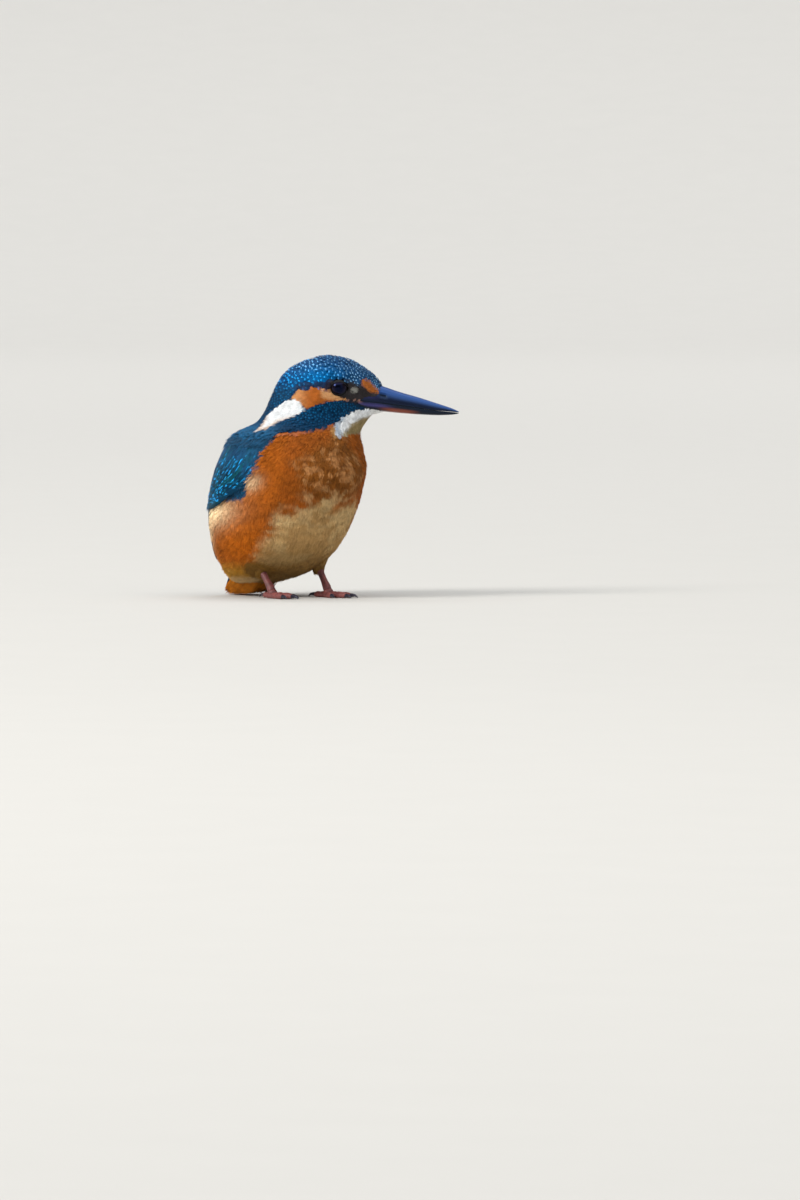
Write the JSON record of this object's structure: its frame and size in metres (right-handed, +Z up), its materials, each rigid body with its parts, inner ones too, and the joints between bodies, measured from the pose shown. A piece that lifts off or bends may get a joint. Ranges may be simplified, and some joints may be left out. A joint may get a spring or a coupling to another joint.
{
  "type": "kingfisher, life-size still model",
  "caption": "Still life-size model of a perched kingfisher, plumage fluffed, head turned to its left, with folded wings, short tail, dagger bill and small feet.",
  "frame": {"origin": "on the floor that the bird stands on, under the centre of its bounding box", "axes": "+Z up; +X to the side that the bill points to, within ten degrees; the breast faces between +X and -Y"},
  "size_m": [0.106, 0.0694, 0.1017],
  "materials": {
    "blue_plumage": "matte feathers with a silky blue sheen",
    "orange_plumage": "matte feathers",
    "bill_horn": "satin horn",
    "eye_gloss": "wet gloss",
    "leg_skin": "fine dry scales",
    "claw_horn": "satin horn"
  },
  "bodies": {
    "root": {"head": "blue_plumage", "neck": "orange_plumage", "torso": "orange_plumage", "tail": "blue_plumage", "wing_right": "blue_plumage", "wing_left": "blue_plumage", "bill_upper": "bill_horn", "bill_lower": "bill_horn", "eye_right": "eye_gloss", "eye_left": "eye_gloss", "leg_right": "leg_skin", "leg_left": "leg_skin", "foot_right": "leg_skin", "foot_left": "leg_skin", "claw_right_inner": "claw_horn", "claw_right_middle": "claw_horn", "claw_right_outer": "claw_horn", "claw_right_hind": "claw_horn", "claw_left_inner": "claw_horn", "claw_left_middle": "claw_horn", "claw_left_outer": "claw_horn", "claw_left_hind": "claw_horn"}
  },
  "joints": []
}
